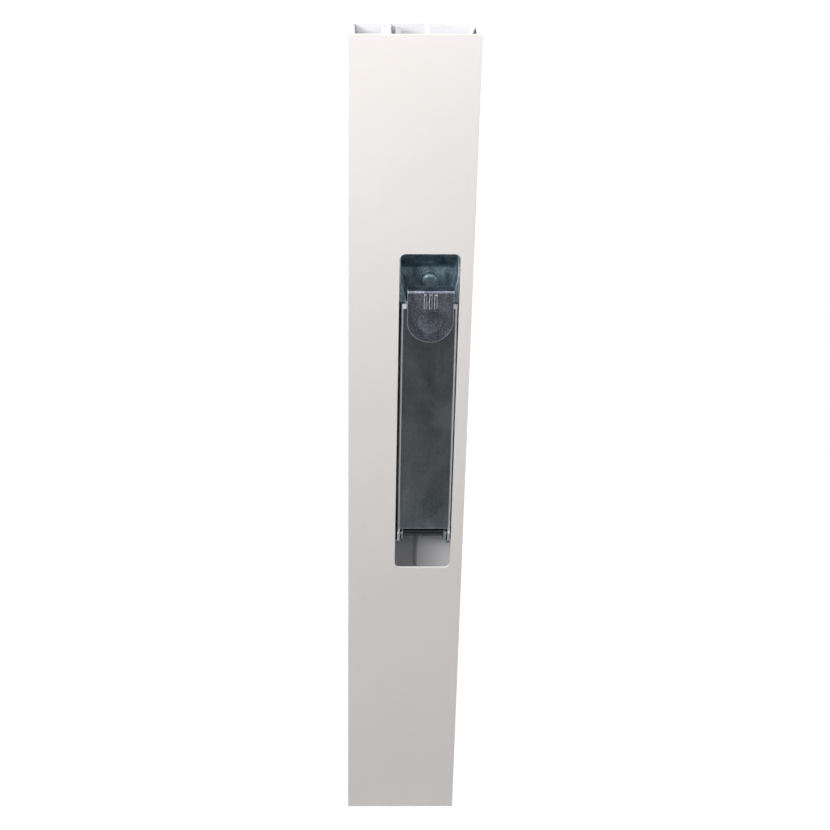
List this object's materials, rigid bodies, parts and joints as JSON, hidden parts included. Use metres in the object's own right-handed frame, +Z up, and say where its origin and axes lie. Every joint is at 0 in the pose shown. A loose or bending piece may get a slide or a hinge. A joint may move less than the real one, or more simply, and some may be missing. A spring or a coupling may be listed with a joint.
{
  "type": "espagnolette bolt",
  "caption": "Post with a built-in espagnolette bolt: a sprung thumb flap frees a fold-out lever that draws the rods in from both ends through a rack and pinion.",
  "frame": {"origin": "bottom centre of the post's box, on the foot's plane", "axes": "+Z up the post, +X to the right seen from the front, +Y from the front face to the back"},
  "size_m": [0.1, 0.036, 0.74],
  "materials": {
    "white_coat": "white powder coat on extruded aluminium, smooth satin",
    "zinc": "bluish zinc-plated sheet steel",
    "rod_zinc": "zinc-plated flat bar",
    "rivet_steel": "plain bright steel",
    "dark_steel": "oiled bare steel",
    "spring_steel": "spring wire",
    "bush_plastic": "black nylon",
    "guide_plastic": "black nylon"
  },
  "bodies": {
    "post": {"post_profile": "white_coat", "lock_case": "zinc", "case_rivets": "rivet_steel", "strike_plate": "zinc", "strike_rivets": "rivet_steel", "spindle_bush_left": "bush_plastic", "spindle_bush_right": "bush_plastic", "upper_guide_top": "guide_plastic", "upper_guide_middle": "guide_plastic", "lower_guide_middle": "guide_plastic", "lower_guide_bottom": "guide_plastic", "guide_screws": "rivet_steel"},
    "lever": {"lever_channel": "zinc", "spindle": "dark_steel", "pinion": "dark_steel", "pinion_spacer": "bush_plastic", "spindle_clips": "dark_steel", "catch_bracket": "zinc", "bracket_rivets": "rivet_steel", "catch_pin": "dark_steel", "catch_spring": "spring_steel"},
    "catch": {"catch_flap": "zinc"},
    "upper_bar": {"upper_rod": "rod_zinc"},
    "lower_bar": {"lower_rod": "rod_zinc"}
  },
  "joints": [
    {"name": "lever_swing", "type": "hinge", "parent": "post", "child": "lever", "pos_m": [0.0159, -0.002, 0.299], "axis": [1, 0, 0], "range_deg": [0, 115]},
    {"name": "catch_lift", "type": "hinge", "parent": "lever", "child": "catch", "pos_m": [0.0166, -0.0095, 0.524], "axis": [-1, 0, 0], "range_deg": [0, 24], "stiffness_Nm_per_rad": 0.15, "springref_deg": -28.65},
    {"name": "upper_slide", "type": "slide", "parent": "post", "child": "upper_bar", "axis": [0, 0, 1], "range_m": [-0.0151, 0]},
    {"name": "lower_slide", "type": "slide", "parent": "post", "child": "lower_bar", "axis": [0, 0, 1], "range_m": [0, 0.0151]}
  ],
  "couplings": [
    {"joint": "upper_slide", "follows": "lever_swing", "m_per_rad": -0.0075},
    {"joint": "lower_slide", "follows": "lever_swing", "m_per_rad": 0.0075}
  ]
}
